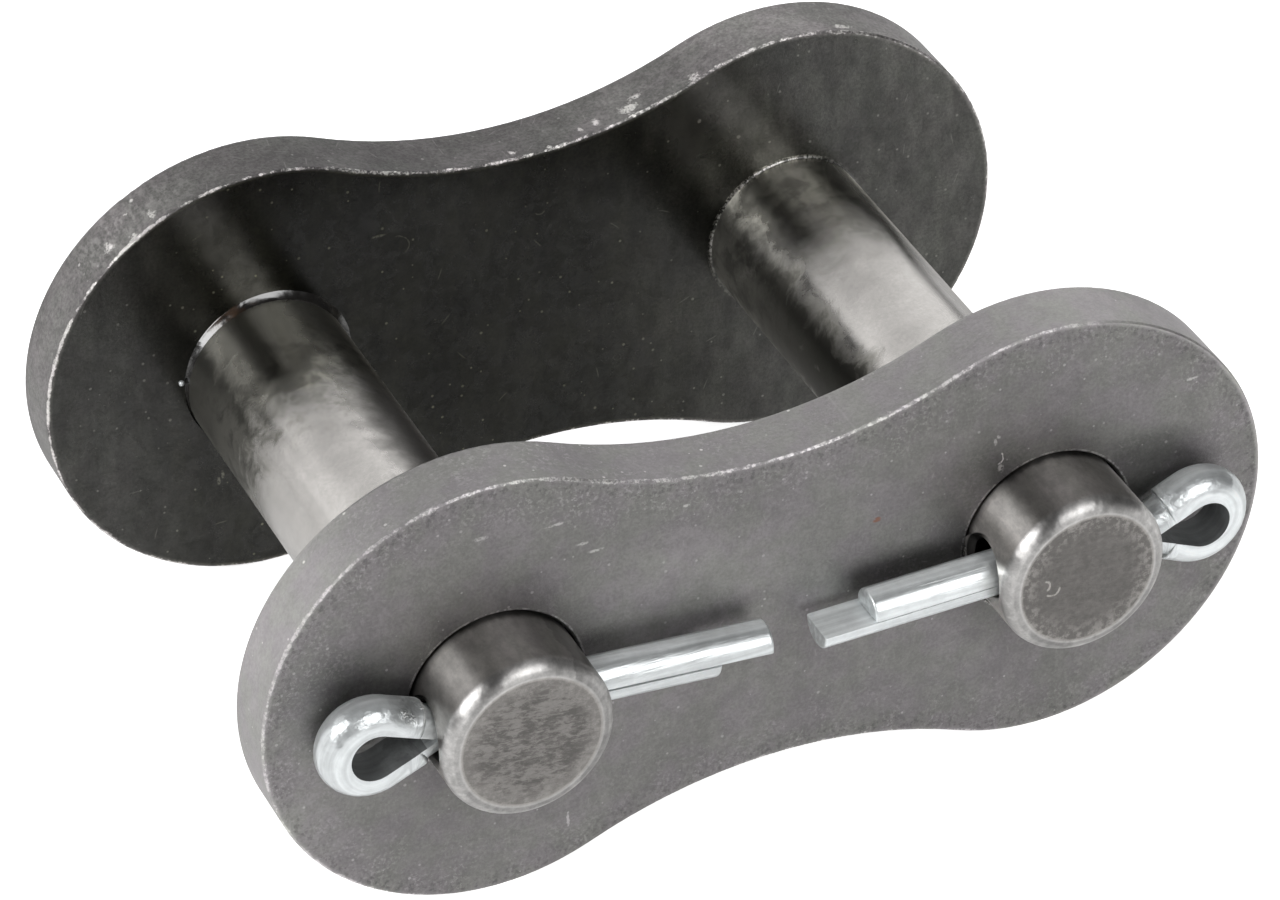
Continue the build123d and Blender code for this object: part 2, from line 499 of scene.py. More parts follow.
entry, leave = new_group(
    "bright_edge",
    {"Position": HERE, "Inward": 1.0, "Front": 0.0, "Width": 0.15, "Whole": 0.15}, ["Mask"]
)
behind = parts(entry["Position"])[1] - entry["Front"]
off_edge = length_of(joined(entry["Inward"], behind, 0))
wander = noise(entry["Position"], 0.9, detail=4, roughness=0.65)
reach = entry["Width"] * step(wander, 0.3, 0.7, 0.35, 1.7)
ragged = noise(entry["Position"], 0.17, detail=4, roughness=0.75)
share = off_edge / reach + (ragged * 1.8 - 0.9)
line = fade(share, 0.4, 1.0)
crumb = crumbs(entry["Position"], 0.22, 0.42, 0.56)
leave(Mask=line * blend(crumb, entry["Whole"], 1))

entry, leave = new_group(
    "knock", {"Position": HERE, "Place": HERE, "Size": HERE, "Raggedness": 2.5}, ["Mask"]
)
local = vector("DIVIDE", vector("SUBTRACT", entry["Position"], entry["Place"]), entry["Size"])
off_middle = length_of(local)
tear = noise(entry["Position"], 0.35, detail=5, roughness=0.75)
tear = (tear - 0.5) * entry["Raggedness"]
patch = fade(off_middle + tear, 0.5, 1.1)
leave(Mask=patch * crumbs(entry["Position"], 0.15, 0.34, 0.5))

entry, leave = new_group(
    "curl", {"Position": HERE, "Place": HERE, "Radius": 0.4, "Width": 0.05, "Open": HERE},
    ["Mask"],
)
local = vector("SUBTRACT", entry["Position"], entry["Place"])
bend = (noise(entry["Position"], 0.6, detail=2) - 0.5) * 0.3
off = abs(length_of(local) - entry["Radius"] + bend)
line = fade(off / entry["Width"], 0.4, 1.0)
towards_gap = vector("DOT_PRODUCT", local, entry["Open"])
kept = fade(towards_gap / entry["Radius"], -0.5, -0.2)
leave(Mask=line * kept * crumbs(entry["Position"], 0.13, 0.3, 0.5))

entry, leave = new_group(
    "soft_patch", {"Position": HERE, "Middle": HERE, "Reach": (1.0, 1.0, 1.0)}, ["Mask"]
)
local = vector("DIVIDE", vector("SUBTRACT", entry["Position"], entry["Middle"]), entry["Reach"])
leave(Mask=fade(length_of(local), 0.2, 1.0))
print("groups so far:", ", ".join(group.name for group in bpy.data.node_groups))

# %% [markdown]
# ## Starting a finish
#
# Each finish below starts the same way: a Principled shader, and the place of the point in
# millimetres. Object coordinates fit, because every piece keeps its place in its mesh, so a
# pattern runs through all of them at one scale.

# %% Helpers for a finish
BUMP_UNIT = 0.001                       # metres, so that reliefs are in millimetres


def source(material, kind, output):
    """An output of a node that has no inputs."""
    return signals(lay(kind, {}, tree=material.node_tree))[output]


def new_finish(name, metallic=1.0):
    """A material, its shader and the place of a point in millimetres."""
    material = bpy.data.materials.new(name)
    material.use_nodes = True
    shader = material.node_tree.nodes["Principled BSDF"]
    shader.inputs["Metallic"].default_value = metallic
    inputs = {0: source(material, "TexCoord", "Object"), "Scale": 1000}
    point = Signal(lay("VectorMath", inputs, operation="SCALE").outputs[0])
    return material, shader, point


def close_finish(shader, colour, roughness, relief=None):
    """Link a finish's colour, roughness and relief, which is in millimetres."""
    fill(shader.inputs["Base Color"], colour)
    fill(shader.inputs["Roughness"], roughness)
    if relief is not None:
        bump = lay("Bump", {"Height": relief, "Distance": BUMP_UNIT})
        fill(shader.inputs["Normal"], signals(bump)["Normal"])


def dress(piece, material):
    """Give a piece its finish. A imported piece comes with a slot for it."""
    if piece.material_slots:
        piece.material_slots[0].material = material
    else:
        piece.data.materials.append(material)
    print(f"{piece.name}: {material.name}, {len(material.node_tree.nodes)} nodes")


def knocks(point, places, raggedness=2.5):
    """One mask for several knocks, each a place and a size in millimetres."""
    masks = [grouped("knock", Position=point, Place=place, Size=size,
                     Raggedness=raggedness)["Mask"] for place, size in places]
    return most(0.0, *masks)


def curls(point, places):
    """One mask for several curls: a middle, a radius, a width and the way it opens."""
    masks = [grouped("curl", Position=point, Place=place, Radius=radius, Width=width,
                     Open=opening)["Mask"] for place, radius, width, opening in places]
    return most(0.0, *masks)


def soft_patch(point, middle, reach):
    """One in the middle, fading to nothing at its reach."""
    return grouped("soft_patch", Position=point, Middle=middle, Reach=reach)["Mask"]


def thin_ring(distance, radius, width):
    """A line where a distance equals the radius."""
    return grouped("thin_ring", Distance=distance, Radius=radius, Width=width)["Mask"]


print("a relief of 1 is", BUMP_UNIT, "m")

# %% [markdown]
# ## What both plates share
#
# Both plates were punched from the same strip, so both have a sheared rim, a bright line along
# the front edge and the same grain. If each material repeated these nodes, they would drift
# apart in tuning. Here each takes them from the same groups, with values of its own.

# %% Rim, edge, grain and scratches of a plate
def plate_base(point, front, cloud_size, whole):
    """What both plates share: where the rim and the bright edge are, and the grain."""
    outline = grouped("plate_outline", Position=point)
    steel = grouped("steel_grain", Position=point, Clouds=cloud_size)
    edge = grouped("bright_edge", Position=point, Inward=outline["Inward"], Front=front,
                   Width=0.14, Whole=step(parts(point)[0], -22, -12, whole, 0.1))
    return outline["Inward"], steel, outline["Rim"], edge["Mask"]


def steel_colour(steel, value, purple, olive):
    """A grey value with the steel's drift of tint."""
    tinted = grouped("drifting_tint", Value=value, Hue=steel["Hue"], Purple=purple, Olive=olive)
    return tinted["Colour"]


def from_pins(point):
    """How far a point is from the axis of the nearer pin."""
    return grouped("pin_distance", Position=point)["Distance"]


def face_scratches(point, spacing, length, share):
    """Scratches on a plate's face, which runs along x and z."""
    x, _, z = parts(point)
    scratches = grouped("short_scratches", Flat=joined(x, z, 0), Spacing=spacing,
                        Length=length, Width=0.05, Share=share)
    return scratches["Mask"]


FACE_DEPTH = 0.4                        # how far from the face a mark on it may reach


def on_face(front, marks):
    """Places and sizes of marks on a face, from x, z, width and height in millimetres."""
    return [((x, front, z), (width, FACE_DEPTH, height)) for x, z, width, height in marks]


print("plate helpers ready")

# %% [markdown]
# ## The cover plate
#
# The front plate is blackened and rubbed to a warm grey. Its face is even, with a fine grain,
# and painted shade darkens it round the pins and where the split pins lie close. Its rim is a
# little lighter and shows faint cloudy patches. An image could be projected on it, but a finish
# made of nodes has no seams and covers the back as well, so face, rim, edge, specks and
# scratches are mixed here.

# %% Finish: the cover plate
COVER_KNOCKS = on_face(COVER_FRONT, [
    (-12.2, 9.4, 0.65, 0.10),
    (-10.8, 7.75, 0.4, 0.10),
    (-10.1, 7.1, 0.5, 0.10),
    (-5.0, 8.3, 0.22, 0.10),
    (-16.3, 9.85, 0.5, 0.14),
    (-12.1, -9.8, 0.10, 0.5),
    (13.1, 5.0, 0.2, 0.3),
    (12.75, 6.75, 0.12, 0.25),
    (12.9, 7.0, 0.16, 0.14),
    (24.4, 7.2, 0.4, 0.12),
])
COVER_CURLS = [
    # middle, radius and width in millimetres, and the way it opens
    ((12.9, COVER_FRONT, 5.6), 0.35, 0.05, (-1.0, 0.0, 0.3)),
]
COVER_RUST = on_face(COVER_FRONT, [(5.87, 3.89, 0.27, 0.2)])
# Painted shade: soft dark patches on the face where the split pins and the right pin shade it.
COVER_SHADE_PATCHES = [
    # middle and reach in millimetres, and the share of the value that is left
    ((7.8, COVER_FRONT, 0.1), (5.6, 2.0, 2.0), 0.38),
    ((12.0, COVER_FRONT, 5.0), (4.2, 2.0, 3.2), 0.74),
    ((21.9, COVER_FRONT, 3.4), (3.6, 2.0, 1.9), 0.62),
    ((-24.0, COVER_FRONT, 3.4), (3.8, 2.0, 2.8), 0.72),
]


def cover_marks(point):
    """Bright wear on the cover: scratches, knocks, a curl and the mouths of the holes."""
    scratch = face_scratches(point, 1.9, 0.5, 0.3)
    mouth = thin_ring(from_pins(point), PIN_RADIUS + 0.24, 0.11)
    mouth *= crumbs(point, 0.3, 0.42, 0.6)
    return most(scratch * 0.1, knocks(point, COVER_KNOCKS) * 0.6,
                curls(point, COVER_CURLS), mouth * 0.45)


def freckles(point, inward):
    """Tumbling has freckled the face near its outline more than in the middle."""
    x, _, z = parts(point)
    freckle = step(noise(point, 0.24, detail=5, roughness=0.75), 0.51, 0.61)
    freckle *= step(noise(point, 1.3, detail=3), 0.35, 0.65, 0.35, 1.35)
    upper_left = step(z - x, 0, 22, 0.5, 0.7)
    return freckle * step(inward, 0.3, 4.5, upper_left, 0.12)


def sheared_rim(x, cloud):
    """The value of the rim, with painted light: lighter round the ends than over the waist."""
    rim_left = step(x, -29, -21, 1.1, 0.8)
    rim_right = step(x, 7, 28, 0.86, 1.3)
    return blend(cloud, 0.33, 0.4) * blend(step(x, -4, 4), rim_left, rim_right)


def cover_plate_finish():
    material, shader, point = new_finish("blackened_cover_plate")
    inward, steel, rim, edge = plate_base(point, COVER_FRONT, 6.0, 0.3)
    x = parts(point)[0]
    worn = cover_marks(point)

    # Painted shade darkens the face close to the pins, above the right legs and by the eyes,
    # and painted light brightens a soft patch in the middle.
    middle = soft_patch(point, (-6.0, COVER_FRONT, 3.2), (9.0, 2.0, 5.0))
    value = blend(steel["Cloud"], 0.215, 0.26) * blend(middle, 1, 1.28)
    value *= step(from_pins(point), 4.9, 7.8, 0.74, 1)
    value *= step(x, -27, -23, 1.12, 1)
    for place, reach, share in COVER_SHADE_PATCHES:
        painted_shade = soft_patch(point, place, reach)
        value *= blend(painted_shade, 1, share)
    value = blend(rim, value, sheared_rim(x, steel["Cloud"]))
    value *= blend(steel["Mottle"], blend(rim, 0.93, 0.95), blend(rim, 1.07, 1.05))
    value *= blend(steel["Grain"], blend(rim, 0.92, 0.94), blend(rim, 1.08, 1.06))
    value = blend(freckles(point, inward), value, 0.38)
    pits = crumbs(point, 0.35, 0.5, 0.62) * step(inward, 0.3, 1.8, 0.28, 0)
    value *= blend(rim, 1 - pits, 1)
    value = blend(steel["Speck"] * 0.9, value, 0.78)
    value = blend(worn, value, 0.65)
    rubbed = edge * step(x, 15, 21, 0.75, 0.15)
    value = blend(rubbed, value, 0.8)
    colour = steel_colour(steel, value, (1.03, 0.98, 1.0), (1.01, 1.0, 0.96))
    rust = knocks(point, COVER_RUST, raggedness=1.2) * 0.6
    colour = painted(rust, colour, (0.3, 0.1, 0.04, 1))

    roughness = blend(steel["Cloud"], 0.47, 0.54)
    roughness = blend(most(worn, rubbed), roughness, 0.34)
    relief = worn * -0.01 + steel["Relief"]
    close_finish(shader, colour, roughness, relief)
    return material


dress(nodes["cover_plate"], cover_plate_finish())

# %% [markdown]
# ## The pin plate
#
# The rear plate holds the pins, and oil has run over its inner face. An oil film makes steel
# darker and smoother at once, so the face is nearly black and mirrors the pins softly. Painted
# shade makes the middle of the face, between the plates, darker still. The rim stayed dry: it
# is as light as the cover's, with dings, a scuffed patch and a hatch of fine scratches. A clear
# coat over the dark base gives the film's second, sharper gloss.

# %% Finish: the pin plate
RIM_KNOCKS = [
    # place and size in millimetres
    ((-24.05, 15.1, 9.9), (0.45, 0.42, 0.4)),
    ((-22.9, 14.3, 10.8), (0.35, 0.35, 0.3)),
    ((-21.6, 14.8, 11.5), (0.26, 0.4, 0.24)),
    ((-22.6, 16.3, 10.9), (0.14, 0.16, 0.14)),
    ((-22.0, 16.9, 11.3), (0.12, 0.14, 0.12)),
    ((-25.4, 16.2, 8.5), (0.14, 0.16, 0.14)),
    ((-0.6, 14.6, 9.6), (0.25, 0.25, 0.4)),
    ((1.5, 14.2, 9.7), (0.15, 0.2, 0.3)),
    ((3.6, 14.8, 9.8), (0.15, 0.2, 0.3)),
    ((4.6, 14.9, 10.0), (0.25, 0.35, 0.4)),
    ((6.6, 14.8, 10.3), (0.6, 0.5, 0.5)),
    ((7.3, 15.5, 10.6), (0.45, 0.25, 0.4)),
    ((10.4, 14.4, 11.6), (0.4, 0.35, 0.4)),
    ((19.6, 14.6, 12.3), (0.85, 0.25, 0.5)),
]
INNER_CURLS = [
    # middle, radius and width in millimetres, and the way it opens
    ((-7.9, INNER_FRONT, 5.9), 0.7, 0.05, (-0.9, 0.0, -0.4)),
    ((0.7, INNER_FRONT, 5.8), 0.3, 0.05, (0.0, 0.0, 1.0)),
]
INNER_KNOCKS = on_face(INNER_FRONT, [
    (-19.15, -6.5, 0.12, 0.3),
    (-18.9, -6.1, 0.12, 0.3),
    (-8.9, 6.9, 0.5, 0.09),
    (10.5, 8.9, 0.16, 0.16),
    (12.9, 7.2, 0.14, 0.14),
])
RIM_SCUFF = ((-23.5, 15.9, 10.0), (8.5, 3.2, 6.0))
RIM_CURLS = [
    ((-26.3, 15.4, 6.2), 0.5, 0.10, (0.0, 1.0, 0.3)),
]


def rim_marks(point, rim):
    """Dings and a curl on the dry rim."""
    dings = knocks(point, RIM_KNOCKS, raggedness=3.2)
    return most(dings, curls(point, RIM_CURLS)) * rim


def mouth_glints(point):
    """Painted glints: a broken bright ring round the right pin's hole, strongest along its top
    and left.
    """
    x, _, z = parts(point)
    mouth = thin_ring(from_pins(point), PIN_RADIUS + 0.08, 0.17)
    mouth *= crumbs(point, 0.24, 0.44, 0.56)
    mouth *= step(x, 6, 8)
    mouth *= step(z, -2.5, 2.5, 0.15, 0.7)
    return mouth * step(x, HALF_PITCH, HALF_PITCH + 4, 1, 0.1)


def inner_marks(point, rim, knock):
    """Bright wear on the pin plate: scratches, marks and the scuffed rim, and painted glints on
    a hole's mouth.
    """
    x, y, _ = parts(point)
    face_scratch = face_scratches(point, 3.2, 0.9, 0.25)
    rim_scratch = grouped("short_scratches", Flat=joined(x, y, 0), Spacing=1.3, Length=0.9,
                          Width=0.045, Share=0.4)["Mask"]
    streaked = vector("MULTIPLY", point, (1.0, 0.45, 1.0))
    scuff = soft_patch(point, *RIM_SCUFF) * rim
    scuff *= crumbs(streaked, 0.4, 0.44, 0.62)
    face_marks = most(curls(point, INNER_CURLS) * 0.5,
                      knocks(point, INNER_KNOCKS, raggedness=1.5))
    worn = blend(rim, face_scratch * 0.1, rim_scratch * 0.12)
    return most(worn, knock, scuff * 0.2, face_marks * 0.2, mouth_glints(point))


def oiled_face_and_shade(point, cloud):
    """The value under the oil, with painted shade: darkest in the middle, lighter at both ends.
    Runs of oil streak it down the face.
    """
    x = parts(point)[0]
    run = noise(vector("MULTIPLY", point, (1.0, 1.0, 0.3)), 1.3, detail=4)
    oil_and_shade = blend(cloud, 0.01, 0.018)
    oil_and_shade = blend(fade(x, -27, -18), oil_and_shade, 0.048)
    oil_and_shade = blend(step(x, 0, 22), oil_and_shade, blend(cloud, 0.055, 0.08))
    return oil_and_shade * step(run, 0.3, 0.7, 0.75, 1.3)


def pin_plate_finish():
    material, shader, point = new_finish("oiled_pin_plate")
    _, steel, rim, edge = plate_base(point, INNER_FRONT, 7.0, 0.75)
    x, y, _ = parts(point)
    knock = rim_marks(point, rim)
    # The wear mask also carries the painted glints round the right pin's hole.
    worn = inner_marks(point, rim, knock)
    dry = most(rim, step(y, INNER_FRONT + 1, INNER_BACK))

    # Painted shade darkens the middle of the oiled face.
    oil_and_shade = oiled_face_and_shade(point, steel["Cloud"])
    brown = step(x, -24, -12) * fade(x, 0, 6)
    dull = blend(steel["Cloud"], 0.15, 0.21) * blend(brown, step(x, 2, 22, 0.95, 1.25), 0.62)
    value = blend(dry, oil_and_shade, dull)
    value *= blend(steel["Mottle"], 0.86, 1.14)
    value *= blend(steel["Grain"], 0.82, 1.18)
    value = blend(steel["Speck"] * 0.35, value, 0.6)
    value = blend(worn, value, 0.6)
    value = blend(edge * 0.85, value, 0.9)
    olive = step(x, -25, -16) * fade(x, 0, 16)
    oiled_tint = painted(olive, (1.0, 1.01, 0.92, 1), (1.0, 1.01, 0.72, 1))
    tint = painted(most(dry, worn), oiled_tint, (1.02, 1.0, 0.99, 1))
    colour = steel_colour(steel, value, (1.03, 0.99, 1.0), (1.0, 1.0, 0.97))
    colour = vector("MULTIPLY", colour, tint)

    roughness = blend(dry, blend(steel["Cloud"], 0.26, 0.36), 0.46)
    roughness = blend(most(worn, edge), roughness, 0.34)
    relief = knock * -0.03 + steel["Relief"]
    close_finish(shader, colour, roughness, relief)
    film = step(noise(point, 0.9, detail=5, roughness=0.7, warp=0.8), 0.35, 0.65, 0.95, 0.6)
    fill(shader.inputs["Coat Weight"], blend(dry, film, 0.0))
    shader.inputs["Coat Roughness"].default_value = 0.19
    return material


dress(nodes["pin_plate"], pin_plate_finish())

# %% [markdown]
# ## The ends of the link pins
#
# The flat ends are darker than the ground length of a pin. The left one has streaks from the
# cut-off wheel, the right one pale crumbs near its edge and two small curls. Two materials
# would do, but with one and a mask for the side the pins stay alike wherever they should.

# %% End faces and the inside of the cross-hole
FACE_RADIUS = 3.93                      # where the flat of the end meets its rounding
HOLE_REACH = 1.95                       # the cross-hole with its countersink
STREAK_TILT = -0.16                     # radians
split_low, split_high = box_mm("left_split_pin")
HOLE_Y = (split_low.y + split_high.y) / 2


def end_streaks(local, from_axis):
    """Dark streaks across a pin's end face, sloping down to the right, denser in the middle."""
    stretched = vector("MULTIPLY", rotated(local, "Y", STREAK_TILT), (0.42, 1.0, 1.15))
    streak = noise(stretched, 0.27, detail=6, roughness=0.78, warp=0.4)
    patchy = noise(local, 1.5, detail=2) - 0.5
    streak = step(patchy * 0.45 + streak, 0.4, 0.6)
    return streak * step(from_axis, 2.6, 3.9, 1, 0.25)


def end_mottle(local, from_axis):
    """Pale crumbs near the edge of the end face."""
    fine = step(noise(local, 0.4, detail=5, roughness=0.75), 0.44, 0.6)
    return fine * step(from_axis, 2.4, 3.9, 0.15, 0.85)


def hole_oil_and_shade(point, from_axis):
    """One deep in the cross-hole and on its side towards the plate: dark oil, and painted
    shade.
    """
    _, y, z = parts(point)
    aside = y - HOLE_Y
    from_hole = length_of(joined(aside, z, 0))
    near = fade(from_hole, HOLE_REACH, HOLE_REACH + 0.08)
    dark = most(fade(from_axis, 4.0, 4.72), step(aside, -0.4, 0.8, 0, 1))
    return near * dark


def end_face(local, from_axis, on_right):
    """The value of the end face: streaks on the left pin, pale crumbs on the right one."""
    tone = blend(on_right, 0.312, 0.212)
    streak = end_streaks(local, from_axis) * blend(on_right, 0.47, 0.16)
    mottle = end_mottle(local, from_axis) * blend(on_right, 0.3, 0.95)
    return tone * (1 - streak + mottle)


END_CURLS = [
    # middle, radius and width in millimetres, and the way it opens
    ((13.8, PIN_FRONT, -0.05), 0.42, 0.09, (-0.4, 0.0, 1.0)),
    ((13.3, PIN_FRONT, 0.25), 0.35, 0.07, (-1.0, 0.0, -0.2)),
]


def end_wear(point, from_axis, end):
    """Bright wear on the end: a broken ring round the flat, and the curls."""
    ring = thin_ring(from_axis, FACE_RADIUS, 0.16) * end
    ring *= crumbs(point, 0.3, 0.2, 0.5)
    return most(ring * 0.45, curls(point, END_CURLS) * 0.75)


print(f"the cross-holes are at y {HOLE_Y:.2f}")

# %% [markdown]
# ## Oil, and painted light and shade, on the pins
# Near the rear plate the pins carry a trace of brown oil, which has dried in a ragged border.
# Their left flank is darker, partly from oil and partly as painted shade where it mirrors the
# dark space between the plates. Painted light and shade also lie in bands round the free ends
# and on the roundings, and darken the left pin's right side. Each such change is a soft step
# along or round the pin, with a noise added to the place before the step. That tears the
# border, where a noise added to the value after it would only speckle it.

# %% Masks along and round a pin
def oil_and_flank_shade(point, on_right, left):
    """Oil on the foot of a pin, its film and dried border, and the dark left flank: partly oil
    and partly painted shade.
    """
    y = parts(point)[1]
    swirl = noise(point, 1.7, detail=5, roughness=0.6, warp=0.6)
    border = (swirl - 0.5) * 9.0 + y
    film_start = blend(on_right, 3.5, 4.5)
    film_full = blend(on_right, 7.5, 12.0)
    film = step(border, film_start, film_full)
    dried = step(border, film_start - 3, film_full) * fade(border, film_full, film_full + 5)
    wisp = step(noise(point, 1.1, detail=4, roughness=0.6, warp=0.4), 0.4, 0.62)
    flank_end = blend(on_right, 4.5, -4.0)
    past_end = step(border - flank_end, -1.5, 1.5)
    uneven = (swirl - 0.5) * 0.7 + left
    flank = step(uneven, blend(on_right, 0.55, 0.63), blend(on_right, 0.85, 0.92))
    return film, dried * wisp, flank * past_end


def painted_free_end_bands(point, on_right, left):
    """Painted light and shade round the free end: lighter and darker bands by the angle round
    the pin.
    """
    painted_bands = step(left, blend(on_right, -0.3, 0.45), blend(on_right, 0.7, 0.8),
                   blend(on_right, 0.78, 0.96), blend(on_right, 1.15, 1.75))
    beside = fade(abs(left - 0.5), 0, 0.35) * on_right
    painted_bands *= blend(beside, 1, 0.8)
    band_wobble = noise(vector("MULTIPLY", point, (1.0, 0.5, 1.0)), 0.6, detail=5, roughness=0.7)
    return painted_bands * step(band_wobble, 0.34, 0.66, 0.86, 1.12)


def painted_rounding_light(point, on_right, left):
    """Painted light and shade on the rounding between the length and the end: lighter above,
    lighter on the left pin's right side and darker on the right pin's left side.
    """
    height = parts(point)[2]
    rounding_light = (step(height, -3, 3, blend(on_right, 0.85, 0.94), blend(on_right, 1.1, 1.2))
              * step(left, -0.95, 0.4, blend(on_right, 1.6, 1.0), 1))
    rounding_light *= step(left, 0.5, 0.95, 1, blend(on_right, 1, 0.56))
    return rounding_light * blend(crumbs(point, 0.5, 0.35, 0.65), 0.9, 1.1)


print("pin masks ready")

# %% [markdown]
# ## The link pins
#
# The pins are ground, the only smooth steel of the link. A grinding wheel leaves fine marks
# round the pin, and such marks stretch each reflection along it: that is why light bands run
# the whole length of a ground pin. A bump could draw every mark, but would flicker. The
# shader's anisotropy does it in one number, with a tangent that says which way the stretch
# goes. The riveted ends behind the rear plate are plain dull steel.

# %% Finish: the link pins
STRETCH_DIRECTION = (0.03, 1.0, 0.10)   # along the pin, and across the streaks on its end


def pin_finish():
    """One finish for both pins. On the right the oil reaches further along."""
    material, shader, point = new_finish("ground_link_pin")
    steel = grouped("steel_grain", Position=point, Clouds=3.5)
    x, y, z = parts(point)
    on_right = maths("GREATER_THAN", x, 0)
    out = x - blend(on_right, -HALF_PITCH, HALF_PITCH)
    left = out / -PIN_RADIUS
    local = joined(out, y, z)
    from_axis = length_of(joined(out, 0, z))
    end = fade(y, PIN_FRONT + 0.02, PIN_FRONT + 0.25)
    face = end * fade(from_axis, 3.86, 3.98)
    rounding = fade(y, PIN_FRONT + 0.6, PIN_FRONT + 0.9)
    free = fade(y, COVER_FRONT, COVER_FRONT + 1)
    film, dried, flank = oil_and_flank_shade(point, on_right, left)

    smudge = noise(vector("ADD", point, (9.0, 4.0, 2.0)), 1.4, detail=4)
    value = blend(step(smudge, 0.3, 0.7), 0.455, 0.495)
    value *= blend(film, 1, 1.2)
    # Painted light and shade in bands round the free end.
    value *= blend(free, 1, painted_free_end_bands(point, on_right, left))
    # Painted shade: the free end darkens where it meets the cover plate.
    foot = free * step(y, COVER_FRONT - 0.6, COVER_FRONT)
    value *= blend(foot, 1, 0.6)
    # Painted light and shade on the rounding of the end.
    value *= blend(rounding, 1, painted_rounding_light(point, on_right, left))
    # Painted shade: a dark band on the rounding stands in for a dark reflection.
    dark_rounding_band = thin_ring(from_axis, FACE_RADIUS + 0.24, 0.2) * end
    value *= blend(dark_rounding_band, 1, 0.82)
    value *= blend(dried, 1, 0.55)
    # The left flank is darkened, partly by oil and partly as painted shade.
    flank_oil_and_shade = blend(on_right, 0.26, step(y, -2, 12, 0.15, 0.33))
    value *= blend(flank, 1, flank_oil_and_shade)
    # Painted shade: the left pin darkens softly towards its right side, where it is also
    # duller.
    wander = (smudge - 0.5) * 0.5 + left
    turns_at = blend(free, blend(film, 0.05, -0.1), -0.5)
    turning = fade(wander, -0.55, turns_at)
    turning *= 1 - on_right
    darkest = blend(free, blend(film, 0.56, 0.48), 0.7)
    value *= blend(turning, 1, darkest)
    value = blend(face, value, end_face(local, from_axis, on_right))
    value = blend(end_wear(point, from_axis, end), value, 0.62)
    value *= blend(steel["Grain"], 0.95, 1.05)
    # Painted shade and dark oil in the cross-hole.
    value = blend(hole_oil_and_shade(point, from_axis), value, 0.025)
    back = step(y, INNER_BACK - 0.1, INNER_BACK)
    value = blend(back, value, step(smudge, 0.3, 0.7, 0.24, 0.3))
    # A brown tint over the oil, also over the shaded flank.
    oily_and_shaded = most(most(film, flank, dried) - back, 0)
    tint = painted(oily_and_shaded, (1.035, 1.0, 0.96, 1), (1.0, 0.975, 0.87, 1))
    tint = painted(rounding, tint, (1.02, 1.0, 0.98, 1))
    tint = painted(face, tint, (1.045, 1.0, 0.955, 1))
    colour = coloured(value, tint)

    # The free end, the oiled foot and the flank are duller than the length between them.
    roughness = blend(steel["Cloud"], 0.21, 0.24)
    roughness = blend(free, blend(film, roughness, 0.24), 0.29)
    roughness = blend(flank, roughness, blend(on_right, 0.38, 0.54))
    far_right = fade(left, -0.85, -0.5) * on_right
    roughness = blend(far_right, roughness, 0.5)
    roughness = blend(turning * (1 - free), roughness, blend(film, 0.6, 0.46))
    roughness = blend(rounding, roughness, 0.38)
    roughness = blend(most(face, back), roughness, 0.5)
    relief = steel["Relief"] * blend(face, 0.0, 0.7)
    dented = noise(point, 0.7, detail=2) * blend(rounding, 0.0, 0.03)
    relief += dented
    close_finish(shader, colour, roughness, relief)
    shader.inputs["Anisotropic"].default_value = 0.88
    tangent = lay("CombineXYZ", dict(enumerate(STRETCH_DIRECTION)), tree=material.node_tree)
    fill(shader.inputs["Tangent"], signals(tangent)["Vector"])
    return material


pin_steel = pin_finish()
for side in ("left", "right"):
    dress(nodes[side + "_link_pin"], pin_steel)

# %% [markdown]
# ## The split pins
#
# The split pins are folded from half-round wire and zinc plated, so they are the brightest
# thing here, with a slight blue cast. Zinc plate is a little chalky: it isn't all mirror, so
# its Metallic is kept under one. Drawing the wire left fine lines along it. In the legs
# they run along x, and in the eye they go round with the wire, so the pattern is laid in polar
# coordinates there. Bending has left soft waves in the eyes, and a tool has dented the neck of
# the left one. Painted shade darkens that dent and the inside of each eye, and painted light
# makes the right split pin lighter than the left one.

# %% Finish: the split pins
EYE_REACH = 2.86                        # from the middle of an eye to its far side
LEFT_EYE_X = split_low.x + EYE_REACH
RIGHT_EYE_X = box_mm("right_split_pin")[1].x - EYE_REACH
PINCH = ((-21.3, -20.0, 2.3), (1.5, 1.5, 1.1))    # where a tool has held the left eye
PINCH_RELIEF = -0.12


